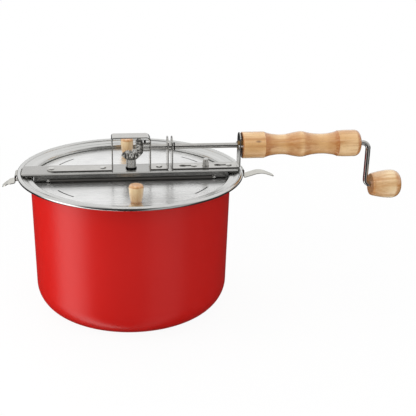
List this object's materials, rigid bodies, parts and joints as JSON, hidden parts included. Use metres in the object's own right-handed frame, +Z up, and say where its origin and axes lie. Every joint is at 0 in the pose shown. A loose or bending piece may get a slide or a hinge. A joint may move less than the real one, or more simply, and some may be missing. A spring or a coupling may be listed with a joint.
{
  "type": "stovetop popcorn popper",
  "caption": "Stovetop popcorn popper: round pot, vented lid with two hinged flaps, bevel-gear stirring crank and turned wooden grip.",
  "frame": {"origin": "centre of the pot's base, on the surface it stands on", "axes": "+Z up along the stirrer's shaft; +X from the pot's axis along the crank rod to the grip; +Y to the back flap"},
  "size_m": [0.4706, 0.257, 0.2043],
  "materials": {
    "red_enamel": "glossy red powder coat outside, bare inside",
    "polished_aluminium": "polished",
    "brushed_aluminium": "brushed satin",
    "bright_steel": "zinc plated, satin",
    "gear_metal": "cast, machined faces",
    "dark_steel": "black oxide",
    "spring_steel": "satin",
    "brass_bush": "oiled",
    "beech": "clear varnish"
  },
  "bodies": {
    "pot_body": {"pot": "red_enamel"},
    "lid_body": {"lid_ring": "polished_aluminium", "ring_rivets": "brushed_aluminium", "crossbar": "brushed_aluminium", "gear_bracket": "bright_steel", "grip_bracket": "bright_steel", "strap_rivets": "brushed_aluminium", "left_clip_rivet": "brushed_aluminium", "keyhole_rivets": "brushed_aluminium", "nut_stud": "bright_steel", "cap_nut": "bright_steel", "shaft_bush": "dark_steel", "grip_bush": "brass_bush", "grip": "beech", "grip_screws": "bright_steel", "front_hinge_wire": "bright_steel", "back_hinge_wire": "bright_steel"},
    "front_flap_body": {"front_flap": "brushed_aluminium", "front_flap_knob": "beech", "front_knob_screw": "bright_steel"},
    "back_flap_body": {"back_flap": "brushed_aluminium", "back_flap_knob": "beech", "back_knob_screw": "bright_steel"},
    "crank_body": {"crank_rod": "bright_steel", "drive_gear": "gear_metal", "drive_gear_pin": "dark_steel", "rod_collar": "bright_steel", "rod_retaining_ring": "dark_steel", "knob_spindle_nut": "bright_steel"},
    "crank_knob_body": {"crank_knob": "beech"},
    "stirrer_body": {"stirrer_shaft": "bright_steel", "driven_gear": "gear_metal", "driven_gear_pin": "dark_steel", "shaft_collar": "bright_steel", "stirrer_wire": "bright_steel"},
    "left_clip_body": {"left_clip": "spring_steel"},
    "right_clip_body": {"right_clip": "spring_steel"}
  },
  "joints": [
    {"name": "lid_lift", "type": "slide", "parent": "pot_body", "child": "lid_body", "axis": [0, 0, 1], "range_m": [0, 0.17]},
    {"name": "front_flap_hinge", "type": "hinge", "parent": "lid_body", "child": "front_flap_body", "pos_m": [0, -0.01815, 0.15605], "axis": [-1, 0, 0], "range_deg": [0, 85]},
    {"name": "back_flap_hinge", "type": "hinge", "parent": "lid_body", "child": "back_flap_body", "pos_m": [0, 0.01815, 0.15605], "axis": [1, 0, 0], "range_deg": [0, 85]},
    {"name": "crank_turn", "type": "hinge", "parent": "lid_body", "child": "crank_body", "pos_m": [0, 0, 0.1888], "axis": [1, 0, 0], "continuous": true},
    {"name": "crank_knob_spin", "type": "hinge", "parent": "crank_body", "child": "crank_knob_body", "pos_m": [0.3, 0, 0.1368], "axis": [1, 0, 0], "continuous": true},
    {"name": "stirrer_turn", "type": "hinge", "parent": "lid_body", "child": "stirrer_body", "pos_m": [0, 0, 0.1], "axis": [0, 0, 1], "continuous": true},
    {"name": "left_clip_pull", "type": "slide", "parent": "lid_body", "child": "left_clip_body", "axis": [-1, 0, 0], "range_m": [0, 0.003], "stiffness_N_per_m": 1200},
    {"name": "right_clip_pull", "type": "slide", "parent": "lid_body", "child": "right_clip_body", "axis": [1, 0, 0], "range_m": [0, 0.003], "stiffness_N_per_m": 1200}
  ],
  "couplings": [
    {"joint": "stirrer_turn", "follows": "crank_turn", "ratio": 1}
  ]
}
